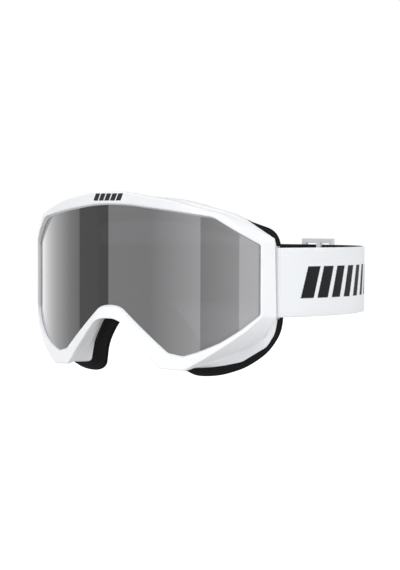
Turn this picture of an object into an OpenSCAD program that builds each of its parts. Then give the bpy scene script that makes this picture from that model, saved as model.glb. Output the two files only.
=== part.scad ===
// Sport goggles with a one-piece cylindrical lens, a moulded frame, layered face foam and an elastic strap.
// It is worn on a face: the origin is where the brow meets the foam, and +Y points to the back of the head.

/* [Lens] */
// Radius of the cylinder that the lens is bent to
lens_r = 103.7; // [100:0.1:110]
// Thickness of the outer lens
lens_t = 1; // [0.8:0.1:1.4]
// Gap between the two lenses
lens_gap = 2.2; // [1.8:0.1:2.6]
// Thickness of the inner lens
inner_lens_t = 0.8; // [0.6:0.1:1]
// Overlap of the frame's lip over the lens edge
lip = 1.2; // [1:0.1:1.4]

/* [Frame] */
// Wall of the moulded shell
wall = 2; // [1.6:0.1:2.4]
// Width of the rear flange that the face foam is bonded to
flange_w = 9; // [7:0.5:10]
// Distance from the front of the lens to the wearer's brow
face_depth = 38; // [36:1:44]
// Number of vent slots in the brow
vents = 5; // [3:2:7]

/* [Foam] */
// Thickness of the fleece layer on the face foam
fleece_t = 3; // [2:0.5:4]
// Width of the face foam where it meets the face
foam_w = 12; // [10:0.5:13]

/* [Strap] */
// Width of the elastic strap
strap_w = 40; // [36:1:42]
// Thickness of the elastic strap
strap_t = 1.3; // [1:0.1:1.5]
// Radius of the strap loop
strap_r = 100; // [100:0.5:102]
// Height of the strap's middle over the origin
strap_z = 1.7; // [0:0.1:3]
// Radius of the bars that hold the strap's ends
bar_r = 1; // [0.8:0.1:1.2]

/* [Adjuster] */
// Place of the adjuster, in degrees from the back towards the right
adjuster_at = 17.7; // [0:0.1:25]
// Length of the adjuster along the strap
adjuster_l = 30; // [28:1:32]
// Thickness of the adjuster
adjuster_t = 2.2; // [1.8:0.1:2.6]

/* [Hidden] */
$fn = 96;
facet = 5;                 // length of one facet along the outlines
fit = 0.35;                // gap between the lens stack and its rebate
ply = 0.1;                 // gap between sewn layers
loop_y = 98;               // middle of the strap loop, behind the lens front
anchor_y = 47.4;           // depth of the strap bars
lug_t = 0.9;               // thickness of the lugs that hold the bars
lug_gap = 0.15;            // gap between a lug and the strap's edge
bar_l = strap_w + 2 * lug_gap + 2 * lug_t - 0.3;      // length of a strap bar
bar_at = strap_r - bar_r - ply - strap_t / 2;
fold_r = bar_r + ply;      // inside of a strap end's loop
fold_at = bar_at - fold_r - strap_t + ply;            // inner face of the ply that is sewn back
anchor_a = 180 - acos((loop_y - anchor_y) / bar_at);  // degrees from the back to a strap bar
stretch_a = 72;            // degrees from the back where the stretching side pieces end
link_left_a = -28;         // degrees where the left link to the adjuster starts
link_right_a = 62;         // degrees where the right link to the adjuster ends
deg_per_mm = 180 / PI / strap_r;                      // one millimetre along the strap, in degrees
half_a = adjuster_l / 2 * deg_per_mm;                 // half the adjuster
slot_l = adjuster_l / 2 - 6;                          // clear length of one slot in the adjuster
outer_ply = strap_r + adjuster_t / 2 + ply;           // inner face of a ply over a bar of the adjuster
inner_ply = strap_r - adjuster_t / 2 - ply - strap_t; // inner face of a ply under a bar
tail_ply = inner_ply - strap_t - 3 * ply;             // inner face of the strap's loose tail
thread = [0.9, 0.25, 0.5];                            // one stitch: length, height, width
thread_lift = thread[1] / 2 + 0.03;                   // from a ply's face to the middle of a stitch
stitch_pitch = 1.9;
vent_pitch = 13;
mark_pitch = 4;
mark_at = -0.2;            // middle of the mark
mark_bars = 5;
inner_lens_r = lens_r - lens_t - lens_gap;
stack_h = -(lens_t + lens_gap + inner_lens_t + fit);  // back of the lens stack

// Outlines run from the middle of the brow, down the right side and up to the middle of the nose.
// Flat outlines hold [x, z]; the ones near the lens [x, z, height over the lens]; the rest [x, y, z].
opening = [[0, 46.2], [13, 45.6], [36.7, 42.3], [59.3, 38.2], [79.1, 22.9], [79.1, -16.5], [70.8, -25.4],
    [62.1, -32.3], [52.6, -37.1], [44, -40.1], [35.9, -38.3], [21, -24.7], [8.1, -12.9], [3.5, -11.6],
    [0, -11.4]];
lip_height = [1.8, 1.8, 2, 3, 2.1, 2.1, 1.8, 1.8, 1.8, 1.8, 1.8, 1.8, 1.8, 1.8, 1.8];
crest = [[0, 53.8, 3], [13, 53.2, 3], [36.7, 48.9, 3], [64.5, 40.7, 2.6], [81.2, 24.8, 2.4], [81.2, -17.2, 2.4],
    [75.2, -25, 2.4], [66.4, -33.3, 3], [56.2, -41.3, 3], [46, -47.9, 3], [32, -47, 3.4], [20.4, -33.7, 3.8],
    [9.8, -21.5, 4], [5, -19.3, 4], [0, -18.9, 4]];
bezel_edge = [[0, 54, -0.5], [13, 53.4, -0.5], [36.7, 49.1, -1], [65.3, 40.6, -1.6], [85, 27.2, 1],
    [85.7, -18.6, 1], [78.3, -28.2, -4.3], [67.5, -36.6, -8.6], [57.5, -42, -7.6], [46.3, -48.3, 1],
    [32.2, -47.4, 1], [20.6, -34, 1.5], [10, -21.9, 2], [5.2, -19.7, 2], [0, -19.3, 2]];
waist = [[0, 52.4, -3], [13, 51.8, -3], [36.7, 47.6, -3.5], [63.9, 39.2, -4.6], [81.7, 25.6, -1.5],
    [81.7, -18, -1.5], [74.8, -26.1, -9.4], [64.3, -33.3, -13.4], [55, -38.9, -12.6], [45.4, -46.6, -4.4],
    [32.2, -46.2, -3], [20.9, -33.1, -3], [10.2, -21.2, -3], [5.2, -19, -3], [0, -18.6, -3]];
shoulder = [[0, 14, 51.8], [13, 14.5, 51.3], [36.7, 18, 49.8], [64.3, 31.2, 41.4], [81.7, 48.4, 26],
    [81.9, 48.6, -23.5], [76.8, 44.2, -31.5], [65.2, 39, -38.6], [55, 32.5, -43.4], [44.4, 24, -48],
    [31.4, 15, -46.8], [22, 12, -33.4], [13, 10.5, -20.3], [6.2, 10, -16.8], [0, 10, -16.2]];
flange = [[0, 23, 51.7], [13, 23, 51.3], [36.7, 26, 49.2], [65.6, 36.5, 40.6], [81.4, 50.5, 26.5],
    [82.2, 51, -25.5], [77, 47.5, -35.8], [63.8, 41.5, -44.7], [53, 35.5, -47.3], [42, 30, -48.3],
    [29.5, 22, -46.9], [25.5, 20, -33.5], [17.5, 20, -19], [8.5, 20, -14], [0, 20, -13]];
face_line = [[0, 38, 49.4], [13, 38.1, 49.2], [36.7, 39.8, 46.6], [62, 43.5, 38.9], [80.6, 57, 30.8],
    [83, 58.5, -20], [79.6, 56.5, -34.2], [68.4, 50.5, -45.8], [56, 45.3, -51.4], [44, 41.5, -54],
    [29.7, 38.5, -53.3], [26.3, 37, -36], [16, 34, -22], [8, 31.5, -16.5], [0, 30, -15]];

keys = len(opening);
steps = [for (i = [0:keys - 2]) max(1, round(norm(opening[i + 1] - opening[i]) / facet))];

// Depth of a point x from the middle that stands h over the lens
function depth(x, h) = lens_r - sqrt(pow(lens_r + h, 2) - x * x);

// Height of a point over the lens
function height(p) = norm([p[0], lens_r - p[1]]) - lens_r;

// An outline laid over the lens, at one height or at the height that each point holds
function over_lens(line, h) = [for (p = line) [p[0], depth(p[0], h), p[1]]];
function laid(line) = [for (p = line) [p[0], depth(p[0], p[2]), p[1]]];

// Points moved back by d, and points a share t of the way from one outline to another
function back(line, d) = [for (p = line) p + [0, d, 0]];
function between(a, b, t) = [for (i = [0:keys - 1]) a[i] + (b[i] - a[i]) * t];

// Outward normal of the edge from a to b, and an outline grown outwards by d with mitred corners
function side_of(a, b) = [a[2] - b[2], 0, b[0] - a[0]] / norm([b[0] - a[0], b[2] - a[2]]);
function mitre(m, n) = (m + n) / (1 + m * n);
function flip(p) = [-p[0], p[1], p[2]];
function grown(line, d) = [for (i = [0:keys - 1])
    let (before = i == 0 ? flip(line[1]) : line[i - 1],
        after = i == keys - 1 ? flip(line[i - 1]) : line[i + 1])
    line[i] + d * mitre(side_of(before, line[i]), side_of(line[i], after))];
function flat(line) = [for (p = line) [p[0], p[2]]];
function raised(line) = [for (p = line) [p[0], 0, p[1]]];
function outline(d) = flat(grown(raised(opening), d));

// The whole closed curve through an outline's points and their mirror images. Between two points the curve
// keeps to a cylinder like the lens's.
function curved(a, b, t) =
    let (x = a[0] + (b[0] - a[0]) * t, h = height(a) + (height(b) - height(a)) * t)
    [x, depth(x, h), a[2] + (b[2] - a[2]) * t];
function half_curve(line) = [for (i = [0:keys - 2]) for (s = [0:steps[i] - 1])
    curved(line[i], line[i + 1], s / steps[i])];
function curve(line) =
    let (right = half_curve(line), count = len(right))
    concat(right, [line[keys - 1]], [for (i = [count - 1:-1:1]) flip(right[i])]);

// A closed ring skinned over a list of closed curves. Each four-sided cell is cut along one diagonal;
// a ring that lies face to face with another takes the other one, so that the two faces match.
module skin(lines, other_cut = false) {
    curves = [for (line = lines) curve(line)];
    n = len(curves[0]);
    m = len(curves);
    at = function (i, j) (i % m) * n + (j % n);
    polyhedron([for (c = curves) each c],
        [for (i = [0:m - 1]) for (j = [0:n - 1]) each other_cut ? [
            [at(i, j), at(i + 1, j), at(i, j + 1)],
            [at(i + 1, j), at(i + 1, j + 1), at(i, j + 1)]] : [
            [at(i, j), at(i + 1, j), at(i + 1, j + 1)],
            [at(i, j), at(i + 1, j + 1), at(i, j + 1)]]]);
}

module placed() {
    translate([0, -face_depth, 0]) children();
}

// A flat outline and its mirror image as one polygon, pushed through along Y
module through(half, from, to) {
    translate([0, to, 0]) rotate([90, 0, 0]) linear_extrude(to - from)
        polygon(concat(half, [for (i = [keys - 2:-1:1]) [-half[i][0], half[i][1]]]));
}

module cylinder_shell(r, t) {
    translate([0, lens_r, -60]) difference() {
        cylinder(r = r, h = 120, $fn = 256);
        translate([0, 0, -1]) cylinder(r = r - t, h = 122, $fn = 256);
    }
}

// A band about the strap loop's axis: radius of its inner face, thickness, width, two ends in degrees
module band(r, t, w, from, to, z = strap_z) {
    translate([0, loop_y, z]) rotate([0, 0, 90 - to]) rotate_extrude(angle = to - from, $fn = 256)
        translate([r, -w / 2]) square([t, w]);
}

// Moves a thing made at the origin, with its length along X, to an angle on the strap loop
module on_loop(r, a) {
    translate([0, loop_y, strap_z]) rotate([0, 0, -a]) translate([0, r, 0]) children();
}

// A run of stitches in a box round a sewn place: w along the strap, h across it
module stitch_box(w, h) {
    for (z = [-h / 2, h / 2]) for (x = [-w / 2:stitch_pitch:w / 2 + 0.01])
        translate([x, -x * x / 2 / strap_r, z]) cube(thread, center = true);
    for (x = [-w / 2, w / 2]) for (z = [-h / 2 + stitch_pitch:stitch_pitch:h / 2 - stitch_pitch + 0.01])
        translate([x, -x * x / 2 / strap_r, z]) cube([thread[2], thread[1], thread[0]], center = true);
}

module frame_shell() {
    lip_line = over_lens(opening, fit);
    lip_crown = [for (i = [0:keys - 1]) let (p = outline(0.4 + 0.3 * lip_height[i])[i])
        [p[0], depth(p[0], lip_height[i]), p[1]]];
    rebate = outline(lip + fit);
    color("white") placed() difference() {
        union() {
            skin([lip_line, lip_crown, laid(crest), laid(bezel_edge), laid(waist), shoulder, flange,
                grown(flange, -flange_w), back(grown(flange, -flange_w), -wall),
                back(grown(flange, -wall), -wall), back(grown(shoulder, -wall), -0.5), inner_waist(wall),
                over_lens(rebate, stack_h), over_lens(rebate, fit)]);
            for (s = [-1, 1]) for (up = [-1, 1])
                strap_lug(s, strap_z + up * (strap_w / 2 + lug_gap + lug_t / 2));
        }
        for (i = [0:vents - 1]) vent_slot((i - (vents - 1) / 2) * vent_pitch);
        for (s = [-1, 1]) bar_place(s) cylinder(r = bar_r + 0.05, h = bar_l + 0.1, center = true);
    }
}

// Moves a thing to a strap bar's axis, on the left (-1) or the right (1)
module bar_place(s) {
    translate([s * bar_at * sin(anchor_a), anchor_y, strap_z]) children();
}

// A slot through the brow wall, behind the bezel
module vent_slot(x) {
    translate([x, depth(x, -3) + 7.5, 50]) cube([9, 6, 12], center = true);
}

module strap_lug(s, z) {
    translate([s * 83.5, anchor_y, z]) cube([3.6, 2.8, lug_t], center = true);
}

module outer_lens() {
    color("silver") placed() intersection() {
        cylinder_shell(lens_r, lens_t);
        through(outline(lip), -1, 60);
    }
}

module lens_gasket() {
    color("dimgray") placed() intersection() {
        cylinder_shell(lens_r - lens_t - ply / 2, lens_gap - ply);
        difference() {
            through(outline(lip - 0.2), -1, 60);
            through(outline(lip - 3.2), -2, 61);
        }
    }
}

module inner_lens() {
    color("gainsboro") placed() intersection() {
        cylinder_shell(inner_lens_r, inner_lens_t);
        through(outline(lip), -1, 60);
    }
}

// Where the foam ends and the fleece starts: the outer and the inner edge of their common face
function fleece_line() = back(face_line, -fleece_t);
function seam_out() = grown(fleece_line(), -0.4);
function seam_in() = grown(fleece_line(), 0.4 - foam_w);

module face_foam() {
    color("black") placed() skin([
        back(flange, ply),
        grown(between(flange, face_line, 0.5), 0.5),
        back(seam_out(), -ply),
        back(seam_in(), -ply),
        grown(between(flange, face_line, 0.4), -flange_w - 1.6),
        back(grown(flange, -flange_w), ply)], other_cut = true);
}

module face_fleece() {
    color("#1a1a1a") placed() skin([
        seam_out(),
        between(fleece_line(), face_line, 0.6),
        grown(face_line, -1.6),
        grown(face_line, 1.2 - foam_w),
        seam_in()]);
}

// A thin foam filter pressed against the inside of the brow wall, behind the vent slots
module brow_vent_foam() {
    half_w = (vents - 1) / 2 * vent_pitch + 10;
    color("#333333") placed() intersection() {
        skin([back(inner_waist(wall + 0.4), 1), back(grown(shoulder, -wall - 0.4), -1),
            back(grown(shoulder, -wall - 1.9), -1), back(inner_waist(wall + 1.9), 1)]);
        translate([-half_w, 0, 40]) cube([half_w * 2, 40, 20]);
    }
}

// The inside of the waist: t in from the outside, and always behind the lenses
function inner_waist(t) = [for (p = grown([for (q = waist) [q[0], q[2], q[1]]], -t))
    [p[0], depth(p[0], min(p[1], stack_h - 0.6)), p[2]]];

// A plain row of slanted bars laid on the brow, each tilted to lie on its face
module brow_mark() {
    color("#37383a") placed() for (i = [0:mark_bars - 1]) {
        x = mark_at + (i - (mark_bars - 1) / 2) * mark_pitch;
        translate([x, depth(x, 2.6), 50.5]) rotate([0, 0, asin(x / lens_r)]) rotate([100.4, 0, 0])
            linear_extrude(0.3) polygon([[-2.3, -1.9], [0.9, -1.9], [2.3, 1.9], [-0.9, 1.9]]);
    }
}

module strap_bar(s) {
    color("gray") placed() bar_place(s) cylinder(r = bar_r, h = bar_l, center = true);
}

// The strap's end: a loop round the bar and a short ply sewn to the inside of the strap
module strap_end(s) {
    color("white") placed() {
        bar_place(s) difference() {
            cylinder(r = fold_r + strap_t, h = strap_w, center = true);
            cylinder(r = fold_r, h = strap_w + 2, center = true);
        }
        mirror([s < 0 ? 1 : 0, 0, 0]) band(fold_at, strap_t, strap_w, anchor_a - 9.5, anchor_a - 1);
    }
}

module end_stitching(s) {
    color("white") placed() mirror([s < 0 ? 1 : 0, 0, 0]) on_loop(fold_at - thread_lift, anchor_a - 6)
        stitch_box(6, strap_w - 6);
}

module strap_side(s) {
    color("whitesmoke") placed() mirror([s < 0 ? 1 : 0, 0, 0])
        band(strap_r - strap_t / 2, strap_t, strap_w, stretch_a, anchor_a - 2.2 * deg_per_mm);
}

module strap_back_left() {
    color("whitesmoke") placed() band(strap_r - strap_t / 2, strap_t, strap_w, -stretch_a, link_left_a);
}

module strap_back_right() {
    color("whitesmoke") placed() band(strap_r - strap_t / 2, strap_t, strap_w, link_right_a, stretch_a);
}

module strap_link_left() {
    color("whitesmoke") placed()
        band(strap_r - strap_t / 2, strap_t, strap_w, link_left_a, adjuster_at - half_a - 4);
}

module strap_link_right() {
    color("whitesmoke") placed()
        band(strap_r - strap_t / 2, strap_t, strap_w, adjuster_at + half_a + 1, link_right_a);
}

// A flat slider with a middle bar and two end bars, bent to the strap's curve
module adjuster_slider() {
    r = strap_r - adjuster_t / 2;
    color("#c9cace") placed() difference() {
        band(r, adjuster_t, strap_w + 8, adjuster_at - half_a, adjuster_at + half_a);
        for (s = [-1, 1]) {
            middle = adjuster_at + s * (slot_l / 2 + 2) * deg_per_mm;
            reach = slot_l / 2 * deg_per_mm;
            band(r - 1, adjuster_t + 2, strap_w + 2, middle - reach, middle + reach);
        }
    }
}

// The left strap's end, folded round the slider's left bar and sewn to the inside of itself
module adjuster_loop() {
    start = adjuster_at - half_a;
    turn = start + 4.2 * deg_per_mm;
    color("whitesmoke") placed() {
        band(outer_ply, strap_t, strap_w, start - 4, turn);
        band(inner_ply, strap_t, strap_w, start - 8, turn);
    }
}

module adjuster_stitching() {
    color("white") placed() on_loop(outer_ply + strap_t + thread_lift, adjuster_at - half_a - 2)
        stitch_box(3, strap_w - 6);
}

// The right strap where it dives under the right bar and over the middle bar of the slider
module strap_weave() {
    color("whitesmoke") placed() {
        band(outer_ply, strap_t, strap_w, adjuster_at - 5 * deg_per_mm, adjuster_at + 5 * deg_per_mm);
        band(inner_ply, strap_t, strap_w, adjuster_at + 9 * deg_per_mm,
            adjuster_at + half_a + 3 * deg_per_mm);
        for (s = [-1, 1]) on_loop((outer_ply + inner_ply + strap_t) / 2, adjuster_at + s * 7 * deg_per_mm)
            rotate([0, 0, -s * 47]) cube([4.4, strap_t, strap_w], center = true);
    }
}

module strap_tail() {
    color("#222222") placed()
        band(tail_ply, strap_t, strap_w, adjuster_at - 34, adjuster_at - half_a * 0.3);
}

module tail_stitching() {
    color("white") placed() on_loop(tail_ply - thread_lift, adjuster_at - 31) stitch_box(4, strap_w - 4);
}

frame_shell();
outer_lens();
lens_gasket();
inner_lens();
face_foam();
face_fleece();
brow_vent_foam();
brow_mark();
strap_bar(-1);  // strap_bar_left
strap_bar(1);  // strap_bar_right
strap_end(-1);  // strap_end_left
strap_end(1);  // strap_end_right
end_stitching(-1);  // end_stitching_left
end_stitching(1);  // end_stitching_right
strap_side(-1);  // strap_side_left
strap_side(1);  // strap_side_right
strap_back_left();
strap_back_right();
strap_link_left();
strap_link_right();
adjuster_slider();
adjuster_loop();
adjuster_stitching();
strap_weave();
strap_tail();
tail_stitching();
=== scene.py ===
import math
import bpy
import numpy as np
from mathutils import Matrix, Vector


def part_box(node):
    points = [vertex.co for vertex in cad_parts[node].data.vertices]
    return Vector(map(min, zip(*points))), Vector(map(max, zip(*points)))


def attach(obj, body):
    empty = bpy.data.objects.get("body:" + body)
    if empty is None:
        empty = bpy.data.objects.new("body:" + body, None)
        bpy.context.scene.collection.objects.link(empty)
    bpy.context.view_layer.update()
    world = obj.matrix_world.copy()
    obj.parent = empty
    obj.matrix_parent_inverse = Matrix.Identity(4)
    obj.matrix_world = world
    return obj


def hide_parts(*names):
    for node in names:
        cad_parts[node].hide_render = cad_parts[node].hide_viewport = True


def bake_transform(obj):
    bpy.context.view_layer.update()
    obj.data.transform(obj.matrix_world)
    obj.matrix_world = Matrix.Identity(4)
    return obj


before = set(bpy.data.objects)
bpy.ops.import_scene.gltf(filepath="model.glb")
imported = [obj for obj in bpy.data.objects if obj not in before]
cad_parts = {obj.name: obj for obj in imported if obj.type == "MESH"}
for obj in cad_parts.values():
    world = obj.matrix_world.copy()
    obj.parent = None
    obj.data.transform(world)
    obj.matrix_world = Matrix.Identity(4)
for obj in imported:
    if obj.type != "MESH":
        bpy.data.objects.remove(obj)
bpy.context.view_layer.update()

mm = 0.001
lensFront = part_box("outer_lens")[0][1] / mm        # depth of the lens's front, in mm from the face
lensR = 103.7                                      # radius that the lens is bent to, mm
rimAngle = 40                                      # degrees past which an edge is shaded sharp


# colours and nodes

def linear(hexCode):
    # sRGB hex to the linear colour that the shaders want
    parts = [int(hexCode[i:i + 2], 16) / 255 for i in (1, 3, 5)]
    return tuple(c / 12.92 if c <= 0.04045 else ((c + 0.055) / 1.055) ** 2.4 for c in parts) + (1.0,)


def addNode(tree, kind, inputs=None, feeds=None, stops=None, **settings):
    # one node with its settings; an input is a value, a socket, or a node whose first output feeds it;
    # feeds names the input of the Principled shader that it goes to, and stops are a ramp's colours
    node = tree.nodes.new(kind)
    for key, value in settings.items():
        setattr(node, key, value)
    for key, value in (inputs or {}).items():
        if isinstance(value, bpy.types.Node):
            value = value.outputs[0]
        if isinstance(value, bpy.types.NodeSocket):
            tree.links.new(value, node.inputs[key])
        else:
            node.inputs[key].default_value = value
    if stops:
        elements = node.color_ramp.elements
        elements[0].position, elements[0].color = stops[0]
        elements[1].position, elements[1].color = stops[1]
    if feeds:
        tree.links.new(node.outputs[0], tree.nodes["Principled BSDF"].inputs[feeds])
    return node


def newMaterial(name, values):
    # a Principled material with constants on its own sockets
    material = bpy.data.materials.new(name)
    material.use_nodes = True
    tree = material.node_tree
    for key, value in values.items():
        tree.nodes["Principled BSDF"].inputs[key].default_value = value
    return material, tree


# meshes from numpy grids

def makeObject(name, points, faces, materials, faceMaterial=None, sharp=None):
    # points in mm from the lens's front; the object's place is in its mesh
    mesh = bpy.data.meshes.new(name)
    placed = (np.asarray(points, float) + [0, lensFront, 0]) * mm
    mesh.from_pydata(placed.tolist(), [], [list(f) for f in faces])
    for material in materials:
        mesh.materials.append(material)
    if faceMaterial is not None:
        mesh.polygons.foreach_set("material_index", np.asarray(faceMaterial, np.int32))
    mesh.polygons.foreach_set("use_smooth", np.ones(len(mesh.polygons), bool))
    if sharp is not None:
        mesh.set_sharp_from_angle(angle=math.radians(sharp))
    mesh.update()
    piece = bpy.data.objects.new(name, mesh)
    bpy.context.scene.collection.objects.link(piece)
    return piece


def gridFaces(rows, cols, closeRows=False, closeCols=False):
    # quads between neighbouring points of a rows x cols grid
    index = np.arange(rows * cols).reshape(rows, cols)
    if closeRows:
        index = np.vstack([index, index[:1]])
    if closeCols:
        index = np.hstack([index, index[:, :1]])
    return np.stack([index[:-1, :-1], index[:-1, 1:], index[1:, 1:], index[1:, :-1]], -1).reshape(-1, 4)


def sheetFaces(rows, cols):
    # two sheets of one grid, the second turned over, joined by quads round their rim
    front = gridFaces(rows, cols)
    index = np.arange(rows * cols).reshape(rows, cols)
    rim = np.concatenate([index[0], index[1:, -1], index[-1, -2::-1], index[-2:0:-1, 0]])
    nextRim = np.roll(rim, -1)
    count = rows * cols
    sides = np.stack([rim, rim + count, nextRim + count, nextRim], 1)
    return np.vstack([front, front[:, ::-1] + count, sides])


def outward(points, faces):
    # turns the faces over when the closed shape's signed volume comes out negative
    a, b, c, d = (points[faces[:, i]] for i in range(4))
    volume = np.sum(a * np.cross(b, c)) + np.sum(a * np.cross(c, d))
    return faces if volume > 0 else faces[:, ::-1]


def setUv(piece, uv):
    # uv holds one pair, in metres, for each vertex
    mesh = piece.data
    loops = np.empty(len(mesh.loops), np.int32)
    mesh.loops.foreach_get("vertex_index", loops)
    layer = mesh.uv_layers.new(name="UVMap")
    layer.data.foreach_set("uv", uv[loops].ravel())


def recolour(nodeName, material):
    # a CAD node that is shown as it is, in a better material
    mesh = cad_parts[nodeName].data
    mesh.materials.clear()
    mesh.materials.append(material)


def finishPiece(piece, body, slot, *nodes):
    # body is None for a piece that spans two bodies and is left unattached
    if body:
        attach(piece, body)
    if nodes:
        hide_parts(*nodes)


# camera

camera = {
    "azimuth": 32.79,      # degrees round from the front, towards the right
    "elevation": 2.08,
    "roll": 0.17,
    "distance": 1009.56,   # mm from the middle of the lens
    "shiftRight": 51.66,   # mm that the aim is moved right
    "lens": 110.5,
}


def addCamera():
    # the camera looks along forward from a point beside the lens's middle, with its own roll
    az, el = math.radians(camera["azimuth"]), math.radians(camera["elevation"])
    forward = np.array([-math.sin(az) * math.cos(el), math.cos(az) * math.cos(el), -math.sin(el)])
    right = np.array([math.cos(az), math.sin(az), 0.0])
    up = np.cross(right, forward)
    place = -forward * camera["distance"] + right * camera["shiftRight"]
    turn = math.radians(camera["roll"])
    rolled = right * math.cos(turn) + up * math.sin(turn)
    upright = np.cross(rolled, forward)
    data = bpy.data.cameras.new("camera")
    data.lens = camera["lens"]
    data.clip_start = 0.05
    cam = bpy.data.objects.new("camera", data)
    columns = np.stack([rolled, upright, -forward, (place + [0, lensFront, 0]) * mm], 1)
    cam.matrix_world = Matrix([list(row) for row in columns] + [[0, 0, 0, 1]])
    bpy.context.scene.collection.objects.link(cam)
    bpy.context.scene.camera = cam


addCamera()
print("camera placed")


# moulded frame

shellShape = {
    # half outlines from the middle of the brow, down the right side, to the middle of the nose, in mm:
    # x, z and the height over the lens's cylinder, or x, depth and z from the shoulder back
    "opening": [[0, 46.2], [13, 45.6], [36.7, 42.3], [59.3, 38.2], [79.1, 22.9], [79.1, -16.5],
                [70.8, -25.4], [62.1, -32.3], [52.6, -37.1], [44, -40.1], [35.9, -38.3], [21, -24.7],
                [8.1, -12.9], [3.5, -11.6], [0, -11.4]],
    "lipHeight": [1.8, 1.8, 2, 3, 2.1, 2.1, 1.8, 1.8, 1.8, 1.8, 1.8, 1.8, 1.8, 1.8, 1.8],
    "crest": [[0, 53.8, 3], [13, 53.2, 3], [36.7, 48.9, 3], [64.5, 40.7, 2.6], [81.2, 24.8, 2.4],
              [81.2, -17.2, 2.4], [75.2, -25, 2.4], [66.4, -33.3, 3], [56.2, -41.3, 3], [46, -47.9, 3],
              [32, -47, 3.4], [20.4, -33.7, 3.8], [9.8, -21.5, 4], [5, -19.3, 4], [0, -18.9, 4]],
    "bezelEdge": [[0, 54, -0.5], [13, 53.4, -0.5], [36.7, 49.1, -1], [65.3, 40.6, -1.6], [85, 27.2, 1],
                  [85.7, -18.6, 1], [78.3, -28.2, -4.3], [67.5, -36.6, -8.6], [57.5, -42, -7.6],
                  [46.3, -48.3, 1], [32.2, -47.4, 1], [20.6, -34, 1.5], [10, -21.9, 2], [5.2, -19.7, 2],
                  [0, -19.3, 2]],
    "waist": [[0, 52.4, -3], [13, 51.8, -3], [36.7, 47.6, -3.5], [63.9, 39.2, -4.6], [81.7, 25.6, -1.5],
              [81.7, -18, -1.5], [74.8, -26.1, -9.4], [64.3, -33.3, -13.4], [55, -38.9, -12.6],
              [45.4, -46.6, -4.4], [32.2, -46.2, -3], [20.9, -33.1, -3], [10.2, -21.2, -3], [5.2, -19, -3],
              [0, -18.6, -3]],
    "shoulder": [[0, 14, 51.8], [13, 14.5, 51.3], [36.7, 18, 49.8], [64.3, 31.2, 41.4], [81.7, 48.4, 26],
                 [81.9, 48.6, -23.5], [76.8, 44.2, -31.5], [65.2, 39, -38.6], [55, 32.5, -43.4],
                 [44.4, 24, -48], [31.4, 15, -46.8], [22, 12, -33.4], [13, 10.5, -20.3], [6.2, 10, -16.8],
                 [0, 10, -16.2]],
    "flange": [[0, 23, 51.7], [13, 23, 51.3], [36.7, 26, 49.2], [65.6, 36.5, 40.6], [81.4, 50.5, 26.5],
               [82.2, 51, -25.5], [77, 47.5, -35.8], [63.8, 41.5, -44.7], [53, 35.5, -47.3],
               [42, 30, -48.3], [29.5, 22, -46.9], [25.5, 20, -33.5], [17.5, 20, -19], [8.5, 20, -14],
               [0, 20, -13]],
    "faceLine": [[0, 38, 49.4], [13, 38.1, 49.2], [36.7, 39.8, 46.6], [62, 43.5, 38.9], [80.6, 57, 30.8],
                 [83, 58.5, -20], [79.6, 56.5, -34.2], [68.4, 50.5, -45.8], [56, 45.3, -51.4],
                 [44, 41.5, -54], [29.7, 38.5, -53.3], [26.3, 37, -36], [16, 34, -22], [8, 31.5, -16.5],
                 [0, 30, -15]],
    # how far each corner's rounding reaches along the outline, mm, at the front and at the back
    "frontRound": [6, 6, 6, 2.2, 0.9, 1.4, 3, 3, 3, 0.9, 0.9, 2, 2.4, 3, 4],
    "rearRound": [6, 6, 6, 5, 4, 7, 1.6, 1.6, 4, 3, 3, 4, 4, 4, 4],
    "foamRound": [8, 8, 8, 8, 7, 9, 8, 8, 8, 6, 6, 6, 7, 6, 6],
    "lip": 1.2,
    "rebateGap": 0.35,     # mm round the lens's edge
    "rebateBack": -4.35,   # height over the cylinder, behind the lens stack
    "innerClear": -4.95,   # the highest that the inner wall comes behind the lenses
    "wall": 2.0,
    "flangeWidth": 9.0,
    "columns": 560,
    "vents": 5,
    "ventPitch": 13.0,
    "ventSize": [9.0, 6.0],
}


def depthAt(x, height):
    # depth of a point that stands that height over the lens's cylinder
    return lensR - np.sqrt((lensR + height) ** 2 - x ** 2)


def heightAt(x, depth):
    # the height over the cylinder of a point at that depth
    return np.hypot(x, lensR - depth) - lensR


def mirrored(half):
    # a whole outline: the half, then its mirror image run back, without the two middle points twice
    whole = mirroredValues(np.asarray(half, float))
    whole[len(half):, 0] *= -1
    return whole


def mirroredValues(half):
    return np.concatenate([half, half[-2:0:-1]])


def raised(half, height):
    # a flat outline laid over the lens at a height, one value or one for each point
    whole = mirrored(half)
    heights = mirroredValues(np.broadcast_to(height, len(half)))
    return np.stack([whole[:, 0], depthAt(whole[:, 0], heights), whole[:, 1]], 1)


def laid(half):
    # an outline held as x, z, height becomes x, depth, z
    half = np.asarray(half, float)
    return raised(half[:, :2], half[:, 2])


def grown(line, distance):
    # each point moved along the mitre of its two edges' outward normals, seen from the front
    flat = line[:, [0, 2]]
    edge = np.roll(flat, -1, 0) - flat
    normal = np.stack([-edge[:, 1], edge[:, 0]], 1) / np.linalg.norm(edge, axis=1)[:, None]
    before = np.roll(normal, 1, 0)
    mitre = (normal + before) / (1 + np.sum(normal * before, 1))[:, None]
    out = line.copy()
    out[:, [0, 2]] += mitre * np.broadcast_to(distance, len(line))[:, None]
    return out


def back(line, distance):
    # a line moved towards the face
    return line + [0, distance, 0]


opening = mirrored(shellShape["opening"])
edgeLengths = np.linalg.norm(np.roll(opening, -1, 0) - opening, axis=1)
knots = np.concatenate([[0], np.cumsum(edgeLengths)])
wholeLength = knots[-1]


def alongOutline(values, s):
    # a value held at each corner, read at lengths s along the opening's outline
    return np.interp(s % wholeLength, knots, np.append(values, values[0]))


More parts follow.
